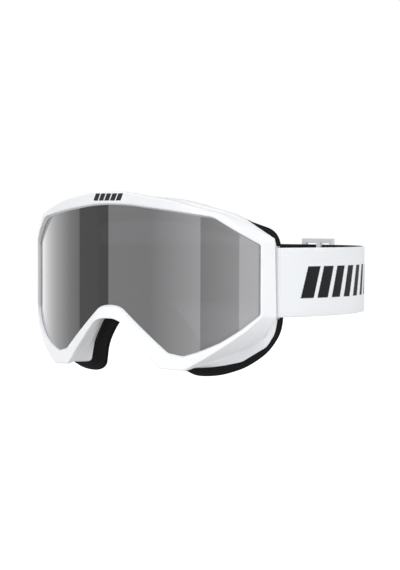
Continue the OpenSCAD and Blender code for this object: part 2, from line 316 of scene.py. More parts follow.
def curve(line, columns, reach):
    # the outline by its length: straight runs, each corner rounded by averaging the line over a
    # short window; depth goes by height over the cylinder, so long runs keep its bend
    s = np.linspace(0, wholeLength, columns, endpoint=False)
    halfWindow = alongOutline(mirroredValues(reach), s)
    height = heightAt(line[:, 0], line[:, 1])
    shifts = np.linspace(-1, 1, 15)
    at = s[None, :] + halfWindow[None, :] * shifts[:, None]
    x = alongOutline(line[:, 0], at).mean(0)
    z = alongOutline(line[:, 2], at).mean(0)
    h = alongOutline(height, at).mean(0)
    return np.stack([x, depthAt(x, h), z], 1)


def roundedSections(lines, radii):
    # each line becomes seven: five on a quadratic curve that turns the corner, from a point a on the
    # way to the line before to a point b on the way to the next, and one on either side of them that
    # holds the flat face flat
    lines = np.stack(lines)
    toPrev = np.roll(lines, 1, 0) - lines
    toNext = np.roll(lines, -1, 0) - lines
    lenPrev = np.linalg.norm(toPrev, axis=2, keepdims=True)
    lenNext = np.linalg.norm(toNext, axis=2, keepdims=True)
    radii = np.asarray(radii, float)[:, None, None]
    dPrev = np.minimum(radii, 0.2 * lenPrev)
    dNext = np.minimum(radii, 0.2 * lenNext)
    unitPrev, unitNext = toPrev / lenPrev, toNext / lenNext
    support = 2.4
    a, b = lines + unitPrev * dPrev, lines + unitNext * dNext
    turned = [(1 - t) ** 2 * a + 2 * t * (1 - t) * lines + t ** 2 * b for t in np.linspace(0, 1, 5)]
    rows = [lines + unitPrev * dPrev * support, *turned, lines + unitNext * dNext * support]
    return np.stack(rows, 1).reshape(-1, lines.shape[1], 3)


def ringPiece(name, lines, radii, reaches, materials, columns):
    # a closed ring whose section is the lines in order, each rounded along its run and at its corner
    curves = [curve(line, columns, reach) for line, reach in zip(lines, reaches)]
    grid = roundedSections(curves, radii)
    points = grid.reshape(-1, 3)
    faces = outward(points, gridFaces(grid.shape[0], grid.shape[1], True, True))
    return makeObject(name, points, faces, materials)


def mouldedWhite():
    # white TPU, injection moulded in a finely spark-eroded tool: a soft even gloss with a faint grain
    material, tree = newMaterial("mouldedWhiteTpu", {
        "Roughness": 0.3, "IOR": 1.5, "Coat Weight": 0.25, "Coat Roughness": 0.12,
        "Subsurface Weight": 0.08, "Subsurface Scale": 0.002, "Subsurface Radius": (1.0, 0.95, 0.9)})
    where = addNode(tree, "ShaderNodeTexCoord").outputs["Object"]
    # the grain is drawn at 0.7 mm, coarser than the real 0.1 mm so that it shows
    grain = addNode(tree, "ShaderNodeTexNoise", {"Vector": where, "Scale": 1400.0, "Detail": 3.0})
    flow = addNode(tree, "ShaderNodeTexNoise", {"Vector": where, "Scale": 35.0, "Detail": 2.0})
    addNode(tree, "ShaderNodeValToRGB", {"Fac": flow}, "Base Color",
            [(0.3, linear("#f1f2f6")), (0.7, linear("#f7f8fa"))])
    addNode(tree, "ShaderNodeMapRange", {"Value": flow, "To Min": 0.26, "To Max": 0.36}, "Roughness")
    addNode(tree, "ShaderNodeBump", {"Height": grain, "Strength": 0.08, "Distance": 0.0001}, "Normal")
    return material


def innerWaist(inset):
    # the inside of the waist, always behind the lenses
    line = grown(laid(shellShape["waist"]), -inset)
    heights = mirroredValues(np.asarray(shellShape["waist"])[:, 2])
    line[:, 1] = depthAt(line[:, 0], np.minimum(heights, shellShape["innerClear"]))
    return line


def shellLines():
    lipHeight = np.asarray(shellShape["lipHeight"])
    openingLine = raised(shellShape["opening"], 0.1)
    crown = grown(openingLine, mirroredValues(0.4 + 0.3 * lipHeight))
    crown[:, 1] = depthAt(crown[:, 0], mirroredValues(lipHeight))
    shoulder, flange = mirrored(shellShape["shoulder"]), mirrored(shellShape["flange"])
    wall, width = shellShape["wall"], shellShape["flangeWidth"]
    rebateBack = grown(raised(shellShape["opening"], 0), shellShape["lip"] + shellShape["rebateGap"])
    rebateFront = rebateBack.copy()
    rebateBack[:, 1] = depthAt(rebateBack[:, 0], shellShape["rebateBack"])
    rebateFront[:, 1] = depthAt(rebateFront[:, 0], 0.1)
    return [openingLine, crown, laid(shellShape["crest"]), laid(shellShape["bezelEdge"]),
            laid(shellShape["waist"]), shoulder, flange, grown(flange, -width),
            back(grown(flange, -width), -wall), back(grown(flange, -wall), -wall),
            back(grown(shoulder, -wall), -0.5), innerWaist(wall), rebateBack, rebateFront]


def roundedBlock(centre, size, radius, steps=5):
    # a box whose upright edges are round, as a closed stack of rings with flat ends
    turn = np.linspace(0, 2 * np.pi, 4 * steps, endpoint=False) + np.pi / (4 * steps)
    corner = np.stack([np.sign(np.cos(turn)), np.sign(np.sin(turn))], 1)
    half = np.array(size) / 2
    ring = corner * (half[:2] - radius) + radius * np.stack([np.cos(turn), np.sin(turn)], 1)
    points, count = [], len(turn)
    for z in (-half[2], half[2]):
        points.append(np.column_stack([ring, np.full(count, z)]) + centre)
    faces = [list(q) for q in gridFaces(2, count, False, True)]
    return np.vstack(points), faces + [list(range(count))[::-1], list(range(count, 2 * count))]


lugShape = {
    "place": [83.1, 47.4, 20.5],   # mm out, back, and over and under the strap's middle
    "size": [3.4, 2.4, 0.8],
}


def buildShell(white):
    radii = [0.12, 0.4, 0.55, 0.4, 0.6, 1.5, 0.5, 0.5, 0.4, 0.8, 1.0, 0.6, 0.3, 0.3]
    front, rear = np.array(shellShape["frontRound"]), np.array(shellShape["rearRound"])
    reaches = [front, front, 0.7 * front, 0.6 * front, 0.6 * front] + [rear] * 7 + [front, front]
    shell = ringPiece("frameShell", shellLines(), radii, reaches, [white], shellShape["columns"])
    cutters = []
    for i in range(shellShape["vents"]):
        x = (i - (shellShape["vents"] - 1) / 2) * shellShape["ventPitch"]
        centre = [x, depthAt(x, -3) + 7.5, 50]
        points, faces = roundedBlock(centre, shellShape["ventSize"] + [12], 2.2)
        cutters.append(makeObject("ventCutter", points, faces, [white]))
        cut = shell.modifiers.new("vent", "BOOLEAN")
        cut.operation, cut.object = "DIFFERENCE", cutters[-1]
    bpy.context.view_layer.update()
    final = bpy.data.meshes.new_from_object(shell.evaluated_get(bpy.context.evaluated_depsgraph_get()))
    shell.modifiers.clear()
    shell.data = final
    for cutter in cutters:
        bpy.data.objects.remove(cutter)
    final.set_sharp_from_angle(angle=math.radians(48))
    finishPiece(shell, "frame", "frame_plastic", "frame_shell")
    return len(final.polygons)


def buildLugs(white):
    # the lugs that hold the strap bars, moulded on inside the side walls
    out, depth, over = lugShape["place"]
    points, faces = [], []
    for side, up in ((-1, -1), (-1, 1), (1, -1), (1, 1)):
        block, ring = roundedBlock([side * out, depth, 1.7 + up * over], lugShape["size"], 1.0)
        faces += [[v + len(block) * len(points) for v in face] for face in ring]
        points.append(block)
    finishPiece(makeObject("strapLugs", np.vstack(points), faces, [white], None, rimAngle), "frame",
                "frame_plastic")


whiteTpu = mouldedWhite()
print("frame shell", buildShell(whiteTpu), "faces")
buildLugs(whiteTpu)


# lens stack

lensShape = {
    "columns": 420,
    "thickness": 1.0,
    "gap": 2.2,
    "innerThickness": 0.8,
    "splitAt": 3.0,        # mm over the origin
}


def lensEdge(margin):
    # upper and lower edge of a lens in order of x, split where its sides run upright
    line = curve(grown(raised(shellShape["opening"], 0), margin), 1600, shellShape["frontRound"])
    halves = [line[line[:, 2] > lensShape["splitAt"]], line[line[:, 2] < lensShape["splitAt"]]]
    return [half[np.argsort(half[:, 0])] for half in halves]


def lensPiece(name, radius, thickness, margin, materials):
    # two concentric bent sheets joined by a rim: x runs across, z between the outline's two edges
    upper, lower = lensEdge(margin)
    reach = upper[-1, 0]
    x = reach * np.sin(np.linspace(-np.pi / 2, np.pi / 2, lensShape["columns"]))
    rows = np.linspace(0, 1, 9)[:, None]
    low = np.interp(x, lower[:, 0], lower[:, 2])
    high = np.interp(x, upper[:, 0], upper[:, 2])
    z = low + (high - low) * rows
    sheets = []
    for r in (radius, radius - thickness):
        turn = np.arcsin(x / radius)
        sheets.append(np.stack([np.broadcast_to(r * np.sin(turn), z.shape),
                                np.broadcast_to(lensR - r * np.cos(turn), z.shape), z], -1))
    points = np.stack(sheets).reshape(-1, 3)
    faces = sheetFaces(*z.shape)
    sheetQuads = (z.shape[0] - 1) * (z.shape[1] - 1)
    # known fault: the rim is wound against the sheets, which leaves both sheets facing inwards;
    # without the next line they face outwards, and the lens looks clearer from behind
    faces[2 * sheetQuads:] = faces[2 * sheetQuads:, ::-1]
    faces = outward(points, faces)
    # the first material is on the front sheet, the last on the rest
    isFront = np.arange(len(faces)) < sheetQuads
    return makeObject(name, points, faces, materials, np.where(isFront, 0, len(materials) - 1), rimAngle)


def hazyLens(name, values, hazeScale, clearest, dullest):
    # a smooth lens whose gloss varies with the handling haze on it, a few mm across
    material, tree = newMaterial(name, {"Transmission Weight": 1.0, **values})
    where = addNode(tree, "ShaderNodeTexCoord").outputs["Object"]
    haze = addNode(tree, "ShaderNodeTexNoise", {"Vector": where, "Scale": hazeScale, "Detail": 4.0})
    addNode(tree, "ShaderNodeMapRange", {"Value": haze, "To Min": clearest, "To Max": dullest}, "Roughness")
    return material


def lensMaterials():
    # polycarbonate with a vacuum-deposited silver mirror: sharp neutral reflections, a trace shows through
    mirror = hazyLens("silverMirrorCoat", {"Base Color": linear("#c4c4c6"), "Metallic": 0.93, "IOR": 1.5},
                      60.0, 0.03, 0.05)
    # the tinted inside face of the mirrored sheet
    smoke = hazyLens("smokePolycarbonate", {"Base Color": linear("#8f9094"), "IOR": 1.58}, 60.0, 0.03, 0.06)
    # thin clear acetate with an anti-fog coat: nearly invisible, with a soft sheen
    clear = hazyLens("antiFogAcetate", {"Base Color": linear("#eef1f3"), "IOR": 1.48}, 45.0, 0.04, 0.1)
    return mirror, smoke, clear


def openCellFoam(name, colour, pore, depth):
    # polyurethane foam, cut by a hot wire: matt, with open cells; each cell's middle is painted darker as
    # shade in the pore, so that the rims look lit
    material, tree = newMaterial(name, {"Roughness": 0.95, "IOR": 1.45, "Specular IOR Level": 0.25})
    where = addNode(tree, "ShaderNodeTexCoord").outputs["Object"]
    cells = addNode(tree, "ShaderNodeTexVoronoi", {"Vector": where, "Scale": 1 / (pore * mm)})
    patch = addNode(tree, "ShaderNodeTexNoise", {"Vector": where, "Scale": 90.0, "Detail": 3.0})
    dark = tuple(c * 0.55 for c in linear(colour)[:3]) + (1.0,)
    # painted shade: the ramp paints each cell's middle, the pit of the bump, in the darker colour and its
    # rim in the foam's own colour
    tone = addNode(tree, "ShaderNodeValToRGB", {"Fac": cells}, None, [(0.05, dark), (0.55, linear(colour))])
    share = addNode(tree, "ShaderNodeMath", {0: patch, 1: 0.35}, operation="MULTIPLY")
    mixed = addNode(tree, "ShaderNodeMix", {"Factor": share, 6: tone, 7: dark}, data_type="RGBA").outputs[2]
    tree.links.new(mixed, tree.nodes["Principled BSDF"].inputs["Base Color"])
    addNode(tree, "ShaderNodeBump", {"Height": cells, "Strength": 0.5, "Distance": depth * mm}, "Normal")
    return material


def buildLenses():
    mirror, smoke, clear = lensMaterials()
    lip = shellShape["lip"]
    outer = lensPiece("mirrorLens", lensR, lensShape["thickness"], lip, [mirror, smoke])
    finishPiece(outer, "frame", "lens_mirror", "outer_lens")
    innerR = lensR - lensShape["thickness"] - lensShape["gap"]
    inner = lensPiece("innerLens", innerR, lensShape["innerThickness"], lip, [clear])
    finishPiece(inner, "frame", "lens_clear", "inner_lens")


buildLenses()
gasketFoam = openCellFoam("gasketFoam", "#26272a", 0.5, 0.2)
recolour("lens_gasket", gasketFoam)
print("lenses")


# face foam

foamShape = {
    "fleece": 3.0,
    "width": 12.0,
    "columns": 420,
    "fill": 0.7,
}


def brushedFleece():
    # polyester microfleece, brushed: black, with a short nap that gives a soft grey bloom at its edge
    material, tree = newMaterial("brushedFleece", {
        "Roughness": 1.0, "Specular IOR Level": 0.15,
        "Sheen Weight": 0.35, "Sheen Roughness": 0.5, "Sheen Tint": linear("#55585e")})
    where = addNode(tree, "ShaderNodeTexCoord").outputs["Object"]
    nap = addNode(tree, "ShaderNodeTexNoise",
                  {"Vector": where, "Scale": 900.0, "Detail": 6.0, "Roughness": 0.7})
    tuft = addNode(tree, "ShaderNodeTexNoise", {"Vector": where, "Scale": 220.0, "Detail": 3.0})
    both = addNode(tree, "ShaderNodeMath", {0: nap, 1: tuft}, operation="ADD")
    addNode(tree, "ShaderNodeValToRGB", {"Fac": tuft}, "Base Color",
            [(0.3, linear("#111214")), (0.7, linear("#1d1e21"))])
    addNode(tree, "ShaderNodeBump", {"Height": both, "Strength": 0.6, "Distance": 0.0004}, "Normal")
    return material


def between(a, b, share):
    # the point that share of the way from a to b
    return a + (b - a) * share


def buildFoam():
    # both sections run from the outer side over the face to the inner side
    flange, face = mirrored(shellShape["flange"]), mirrored(shellShape["faceLine"])
    seam = back(face, -foamShape["fleece"])
    width, columns = foamShape["width"], foamShape["columns"]
    reaches = [shellShape["foamRound"]] * 6
    waist = between(flange, seam, 0.5)
    sections = [back(grown(flange, -0.4), 0.1), grown(waist, 0.7), back(grown(seam, -0.1), -0.1),
                back(grown(seam, 0.2 - width), -0.1), grown(waist, -shellShape["flangeWidth"] - 1.8),
                back(grown(flange, -shellShape["flangeWidth"]), 0.1)]
    foam = ringPiece("faceFoam", sections, [0.8, 4, 0.5, 0.5, 4, 0.8], reaches,
                     [openCellFoam("faceFoam", "#1c1c1e", 0.9, 0.35)], columns)
    finishPiece(foam, "frame", "face_foam", "face_foam")
    edge = between(seam, face, 0.6)
    sections = [grown(seam, 0.1), grown(edge, 0.25), grown(face, -1.6), grown(face, 1.4 - width),
                grown(edge, -width - 0.1), grown(seam, -width)]
    fleece = ringPiece("faceFleece", sections, [0.4, 0.9, 1.4, 1.4, 0.9, 0.4], reaches, [brushedFleece()],
                       columns)
    finishPiece(fleece, "frame", "fleece", "face_fleece")


buildFoam()
print("foam and fleece")


# strap

strapShape = {
    "radius": 100.0,       # mm, of the loop
    "middle": 98.0,        # mm, from the lens's front to the loop's middle
    "height": 1.7,         # mm, of the strap's middle
    "width": 40.0,
    "thickness": 1.3,
    "flatPoints": 14,      # along each face of the section
    "edgePoints": 5,       # round each of its edges
    "barRadius": 1.0,
    "anchorDepth": 47.4,
    "plyTurn": 10.5,       # degrees of the loop that the sewn-back ply takes
    "plySink": 4.5,        # degrees over which it draws in against the strap
    "backAt": 72,          # degrees from the back where the strap's rear half begins
    "adjusterAt": 17.7,    # degrees from the back, towards the right
    "linkLeft": -28.0,
    "linkRight": 62.0,
}
degPerMm = 180 / math.pi / strapShape["radius"]
barAt = strapShape["radius"] - strapShape["barRadius"] - 0.1 - strapShape["thickness"] / 2
anchorAngle = 180 - math.degrees(math.acos((strapShape["middle"] - strapShape["anchorDepth"]) / barAt))


def elasticWebbing(name, base, grooveShade, marked):
    # knitted elastic webbing: fine ribs along its length crossed by the weft, matt with a slight sheen; the
    # weave's low parts are painted in a darker groove colour as shade
    material, tree = newMaterial(name, {"Roughness": 0.85, "IOR": 1.5, "Specular IOR Level": 0.3,
                                        "Sheen Weight": 0.15, "Sheen Roughness": 0.4})
    uv = addNode(tree, "ShaderNodeUVMap", uv_map="UVMap")
    along, across = addNode(tree, "ShaderNodeSeparateXYZ", {"Vector": uv}).outputs[:2]
    # ribs 0.9 mm apart across the strap and picks 0.7 mm apart along it
    waves = []
    for place, pitch in ((across, 0.9), (along, 0.7)):
        turns = 2 * math.pi / (pitch * mm)
        phase = addNode(tree, "ShaderNodeMath", {0: place, 1: turns}, operation="MULTIPLY")
        waves.append(addNode(tree, "ShaderNodeMath", {0: phase}, operation="SINE"))
    picks = addNode(tree, "ShaderNodeMath", {0: waves[1], 1: 0.4}, operation="MULTIPLY")
    weave = addNode(tree, "ShaderNodeMath", {0: waves[0], 1: 0.6, 2: picks}, operation="MULTIPLY_ADD")
    unit = addNode(tree, "ShaderNodeMath", {0: weave, 1: 0.5, 2: 0.5}, operation="MULTIPLY_ADD")
    # painted shade: the weave's troughs, the low parts of the bump, take the darker groove colour and its
    # crests the base colour
    tone = addNode(tree, "ShaderNodeValToRGB", {"Fac": unit}, None,
                   [(0.0, linear(grooveShade)), (0.6, linear(base))]).outputs[0]
    if marked:
        mask = markMask(tree, along, across, unit)
        tone = addNode(tree, "ShaderNodeMix", {"Factor": mask, 6: tone, 7: linear(markShape["colour"])},
                       data_type="RGBA").outputs[2]
    tree.links.new(tone, tree.nodes["Principled BSDF"].inputs["Base Color"])
    addNode(tree, "ShaderNodeBump", {"Height": weave, "Strength": 0.22, "Distance": 0.00012}, "Normal")
    return material


markShape = {
    "start": 0.0168,       # m along the strap from its bar
    "end": 0.122,
    "low": -0.0093,
    "high": 0.0093,
    "pitch": 0.0128,
    "lean": 0.3,
    "shares": [0.82, 0.3],    # of the pitch, that the first and the last bar take
    "colour": "#1b1c1f",
}


def markMask(tree, along, across, unit):
    # 1 on a woven-in row of slanted bars that thin out towards the back, 0 beside them: a point is on a
    # bar where its share of the pitch is under the bar's, between the row's two ends and two edges
    length = markShape["end"] - markShape["start"]
    wide, slim = markShape["shares"]
    made = {"along": along, "across": across, "unit": unit}
    steps = [
        # result, operation, and its inputs: numbers or earlier results
        ("ragged", "MULTIPLY_ADD", "unit", 0.0004, -0.0002),
        ("height", "SUBTRACT", "across", strapShape["height"] * mm),
        ("sheared", "MULTIPLY_ADD", "height", -markShape["lean"], "along"),
        ("leaned", "ADD", "sheared", "ragged"),
        ("fromStart", "SUBTRACT", "leaned", markShape["start"]),
        ("pitches", "DIVIDE", "fromStart", markShape["pitch"]),
        ("phase", "FRACT", "pitches"),
        ("share", "MULTIPLY_ADD", "fromStart", (slim - wide) / length, wide),
        ("raggedHeight", "ADD", "height", "ragged"),
        ("onBar", "LESS_THAN", "phase", "share"),
        ("afterStart", "GREATER_THAN", "fromStart", 0.0),
        ("beforeEnd", "LESS_THAN", "leaned", markShape["end"]),
        ("aboveLow", "GREATER_THAN", "raggedHeight", markShape["low"]),
        ("belowHigh", "LESS_THAN", "raggedHeight", markShape["high"]),
        ("inLength", "MULTIPLY", "afterStart", "beforeEnd"),
        ("inHeight", "MULTIPLY", "aboveLow", "belowHigh"),
        ("inRow", "MULTIPLY", "inLength", "inHeight"),
        ("mask", "MULTIPLY", "onBar", "inRow"),
    ]
    for result, operation, *inputs in steps:
        sources = {i: made.get(value, value) for i, value in enumerate(inputs)}
        made[result] = addNode(tree, "ShaderNodeMath", sources, operation=operation)
    return made["mask"]


def onLoop(angle, radius):
    # a point of the loop, seen from above, by its angle from the back and its radius
    turn = np.radians(angle)
    return np.stack([radius * np.sin(turn), strapShape["middle"] + radius * np.cos(turn)], -1)


def ease(t):
    # smooth step from 0 to 1
    t = np.clip(t, 0, 1)
    return t * t * (3 - 2 * t)


def ribbon(name, path, materials, mirror=False):
    # a band carried along a path in plan: its section is a flat strip with round edges. The first
    # material is on its left-hand face seen along the path, the second on its right-hand face.
    half = strapShape["thickness"] / 2
    step = np.gradient(path, axis=0)
    step /= np.linalg.norm(step, axis=1)[:, None]
    normal = np.stack([-step[:, 1], step[:, 0]], 1)
    reach = strapShape["width"] / 2 - half
    flatPoints = strapShape["flatPoints"]
    flat = np.linspace(-reach, reach, flatPoints)
    turn = np.linspace(0, np.pi, strapShape["edgePoints"] + 2)[1:-1]
    z = np.concatenate([flat, reach + half * np.sin(turn), flat[::-1], -reach - half * np.sin(turn)])
    n = np.concatenate([np.full(flatPoints, half), half * np.cos(turn),
                        np.full(flatPoints, -half), -half * np.cos(turn)])
    rows, cols = len(path), len(z)
    grid = np.empty((rows, cols, 3))
    grid[..., :2] = path[:, None] + normal[:, None] * n[:, None]
    grid[..., 2] = strapShape["height"] + z
    length = np.concatenate([[0], np.cumsum(np.linalg.norm(np.diff(path, axis=0), axis=1))])
    uv = np.stack([np.broadcast_to(length[:, None], (rows, cols)), grid[..., 2]], -1).reshape(-1, 2) * mm
    if mirror:
        grid = grid * [-1, 1, 1]
    points = grid.reshape(-1, 3)
    quads = gridFaces(rows, cols, False, True)
    caps = [np.arange(cols)[::-1], np.arange(cols) + (rows - 1) * cols]
    if not facesOut(grid, quads):
        quads, caps = quads[:, ::-1], [cap[::-1] for cap in caps]
    side = np.concatenate([np.tile(np.roll(n, -1) + n < 0, rows - 1), [False, False]])
    piece = makeObject(name, points, quads.tolist() + [cap.tolist() for cap in caps], materials, side, 50)
    setUv(piece, uv)
    return piece


def facesOut(grid, quads):
    # whether the quads' normals go out from the middles of their sections
    points = grid.reshape(-1, 3)
    a, b, c = (points[quads[:, i]] for i in range(3))
    middle = grid.mean(1)[quads[:, 0] // grid.shape[1]]
    return np.sum(np.cross(b - a, c - a) * ((a + c) / 2 - middle)) > 0


def buildStrap():
    # the second colour of each webbing is the painted shade in the weave's grooves
    white = elasticWebbing("elasticWebbingWhite", "#f2f4f6", "#e8ebef", True)
    plain = elasticWebbing("elasticWebbingPlain", "#f2f4f6", "#e8ebef", False)
    black = elasticWebbing("elasticWebbingBlack", "#17181a", "#0b0b0c", False)
    r, t = strapShape["radius"], strapShape["thickness"]
    for side, link in (("Right", strapShape["linkRight"]), ("Left", -strapShape["linkLeft"])):
        left = side == "Left"
        angles = np.linspace(anchorAngle, link, 150)
        piece = ribbon("strap" + side, onLoop(angles, r), [black, white], left)
        nodes = [part + side.lower() for part in ("strap_side_", "strap_back_")]
        finishPiece(piece, None, "strap_elastic", *nodes)
        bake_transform(piece)
        # the end: round the bar, then a ply back along the inside, drawn in against the strap
        rho = strapShape["barRadius"] + 0.1 + t / 2
        turn = np.linspace(0, math.pi, 28)
        sine, cosine = math.sin(math.radians(anchorAngle)), math.cos(math.radians(anchorAngle))
        radial, tangent = np.array([sine, cosine]), np.array([cosine, -sine])
        centre = onLoop(anchorAngle, barAt)
        loop = centre + rho * (np.cos(turn)[:, None] * radial + np.sin(turn)[:, None] * tangent)
        backAngles = np.linspace(anchorAngle, anchorAngle - strapShape["plyTurn"], 60)[1:]
        sink = ease((anchorAngle - backAngles) / strapShape["plySink"])
        plyRadius = (barAt - rho) + ((r - t - 0.08) - (barAt - rho)) * sink
        path = np.vstack([loop, onLoop(backAngles, plyRadius)])
        end = ribbon("strapEnd" + side, path, [plain, black], left)
        finishPiece(end, "frame", "strap_elastic", "strap_end_" + side.lower())
    return plain, black


plainWeb, blackWeb = buildStrap()
print("strap sides")


# adjuster

adjusterShape = {
    "length": 30.0,
    "thickness": 2.2,
    "bar": 4.0,            # mm, width of an end bar
    "slot": 9.0,
    "rail": 3.0,
    "bevel": 0.5,
    "strapPlay": 1.0,
    "gap": 0.1,            # mm between the strap and a bar
    "sewn": 16.0,          # mm from the slider's end to the end of the sewn ply
    "tail": 44.0,          # mm from the slider's end to the tail's end
}


def placeOnLoop(points):
    # (along, radial, z) beside the adjuster's middle to the bent strap's plan
    angle = strapShape["adjusterAt"] + points[:, 0] * degPerMm
    plan = onLoop(angle, strapShape["radius"] + points[:, 1])
    return np.stack([plan[:, 0], plan[:, 1], points[:, 2] + strapShape["height"]], 1)


def mouldedAcetal():
    # light grey acetal, moulded: smooth with a waxy gloss
    material, tree = newMaterial("mouldedAcetal", {"Roughness": 0.32, "IOR": 1.48, "Coat Weight": 0.1})
    where = addNode(tree, "ShaderNodeTexCoord").outputs["Object"]
    flow = addNode(tree, "ShaderNodeTexNoise", {"Vector": where, "Scale": 160.0, "Detail": 3.0})
    addNode(tree, "ShaderNodeValToRGB", {"Fac": flow}, "Base Color",
            [(0.3, linear("#d8d9dd")), (0.7, linear("#dfe0e4"))])
    addNode(tree, "ShaderNodeBump", {"Height": flow, "Strength": 0.1, "Distance": 0.0001}, "Normal")
    return material


def buildSlider():
    # a flat grid of cells with the two slots left out, given its thickness and bent to the loop
    half = adjusterShape["length"] / 2
    bar, rail = adjusterShape["bar"], adjusterShape["rail"]
    slotEnd = half - bar
    slotStart = slotEnd - adjusterShape["slot"]
    inner = strapShape["width"] / 2 + adjusterShape["strapPlay"]
    xs = np.concatenate([np.linspace(-half, -slotEnd, 5), np.linspace(-slotEnd, -slotStart, 7)[1:],
                         np.linspace(-slotStart, slotStart, 5)[1:], np.linspace(slotStart, slotEnd, 7)[1:],
                         np.linspace(slotEnd, half, 5)[1:]])
    zs = np.concatenate([[-inner - rail, -inner], np.linspace(-inner, inner, 15)[1:], [inner + rail]])
    cx, cz = (xs[1:] + xs[:-1]) / 2, (zs[1:] + zs[:-1]) / 2
    inSlot = (np.abs(cx) > slotStart) & (np.abs(cx) < slotEnd)
    solid = ~((np.abs(cz)[:, None] < inner) & inSlot)
    rows, cols = len(zs), len(xs)
    quad = gridFaces(rows, cols).reshape(rows - 1, cols - 1, 4)
    top = quad[solid]
    count = rows * cols
    padded = np.pad(solid, 1)
    walls = []
    for dr, dc, a, b in ((-1, 0, 0, 1), (0, 1, 1, 2), (1, 0, 2, 3), (0, -1, 3, 0)):
        edge = quad[solid & ~padded[1 + dr:rows + dr, 1 + dc:cols + dc]]
        walls.append(np.stack([edge[:, a], edge[:, b], edge[:, b] + count, edge[:, a] + count], 1))
    gx, gz = np.meshgrid(xs, zs)
    t = adjusterShape["thickness"] / 2
    sheet = [np.stack([gx.ravel(), np.full(count, s * t), gz.ravel()], 1) for s in (-1, 1)]
    points = placeOnLoop(np.vstack(sheet))
    faces = outward(points, np.vstack([top[:, ::-1], top + count] + walls))
    used = np.unique(faces)
    renumber = np.zeros(len(points), int)
    renumber[used] = np.arange(len(used))
    slider = makeObject("adjusterSlider", points[used], renumber[faces], [mouldedAcetal()])
    bevel = slider.modifiers.new("edges", "BEVEL")
    bevel.width, bevel.segments, bevel.limit_method = adjusterShape["bevel"] * mm, 3, "ANGLE"
    bevel.angle_limit = math.radians(40)
    bevel.harden_normals = True
    finishPiece(slider, "adjuster", "adjuster_plastic", "adjuster_slider")


def buildAdjusterStrap():
    r, t = strapShape["radius"], strapShape["thickness"]
    lift = adjusterShape["thickness"] / 2 + adjusterShape["gap"] + t / 2   # from the loop to beside a bar
    at, half = strapShape["adjusterAt"], adjusterShape["length"] / 2
    slotEnd, change = half - adjusterShape["bar"], adjusterShape["slot"] - 0.6
    sewnTo, tailTo = half + adjusterShape["sewn"], half + adjusterShape["tail"]
    enter = at + (half + 1) * degPerMm
    # right link: along the loop, then inwards under the right bar
    angles = np.linspace(strapShape["linkRight"], enter, 90)
    s = (angles - at) / degPerMm
    path = onLoop(angles, r - lift * ease((half + 16 - s) / 14))
    link = ribbon("strapLinkRight", path, [blackWeb, plainWeb])
    finishPiece(link, None, "strap_elastic", "strap_link_right")
    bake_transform(link)
    # weave: under the right bar, over the middle bar, in again and on as the tail on the inside
    s = np.linspace(half + 1, -tailTo, 220)
    rise, fall = ease((slotEnd - s) / change), ease((-2.4 - s) / change)
    tailIn = -lift - t - 0.15
    settle = ease((-sewnTo - 1 - s) / 12)
    radial = -lift + 2 * lift * rise + (tailIn - lift) * fall + (-tailIn - t - 0.15) * settle
    weave = ribbon("strapWeave", onLoop(at + s * degPerMm, r + radial), [blackWeb, plainWeb])
    finishPiece(weave, "adjuster", "strap_elastic", "strap_weave", "strap_tail")
    # left link, and the strap's end: over the left bar, round it and back along the inside
    sewnAt = at - sewnTo * degPerMm
    path = onLoop(np.linspace(sewnAt, strapShape["linkLeft"], 90), r)
    link = ribbon("strapLinkLeft", path, [blackWeb, plainWeb])
    finishPiece(link, None, "strap_elastic", "strap_link_left")
    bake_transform(link)
    s = np.linspace(-sewnTo, -slotEnd, 90)
    over = onLoop(at + s * degPerMm, r + lift * ease((s + half + 7) / 6.5))
    turn = np.linspace(0, math.pi, 26)[1:-1]
    around = onLoop(at + (-slotEnd + lift * np.sin(turn)) * degPerMm, r + lift * np.cos(turn))
    s = np.linspace(-slotEnd, -sewnTo + 1.5, 80)
    under = onLoop(at + s * degPerMm, r - lift + (lift - t - 0.08) * ease((-half - s) / 6))
    loop = ribbon("adjusterLoop", np.vstack([over, around, under]), [plainWeb, blackWeb])
    finishPiece(loop, "adjuster", "strap_elastic", "adjuster_loop")


buildSlider()
buildAdjusterStrap()
print("adjuster")


# stitching, brow mark, vent foam and bars

def threadMaterial():
    # bonded polyester thread, twisted: slightly shiny, with its ply showing as fine diagonal ridges whose
    # troughs are painted darker as shade
    material, tree = newMaterial("polyesterThread", {"Roughness": 0.55, "Sheen Weight": 0.3})
    where = addNode(tree, "ShaderNodeTexCoord").outputs["Object"]
    ridge = addNode(tree, "ShaderNodeTexWave", {"Vector": where, "Scale": 900.0},
                    bands_direction="DIAGONAL").outputs["Fac"]
    # painted shade: the ridges' troughs, the low parts of the bump, are painted in the darker colour
    addNode(tree, "ShaderNodeValToRGB", {"Fac": ridge}, "Base Color",
            [(0.0, linear("#d5d8dd")), (1.0, linear("#eceef1"))])
    addNode(tree, "ShaderNodeBump", {"Height": ridge, "Strength": 0.3, "Distance": 0.0001}, "Normal")
    return material


stitchShape = {
    "pitch": 2.1,
    "length": 1.5,
    "radius": 0.22,
    "spinePoints": 7,
    "ringPoints": 6,
}


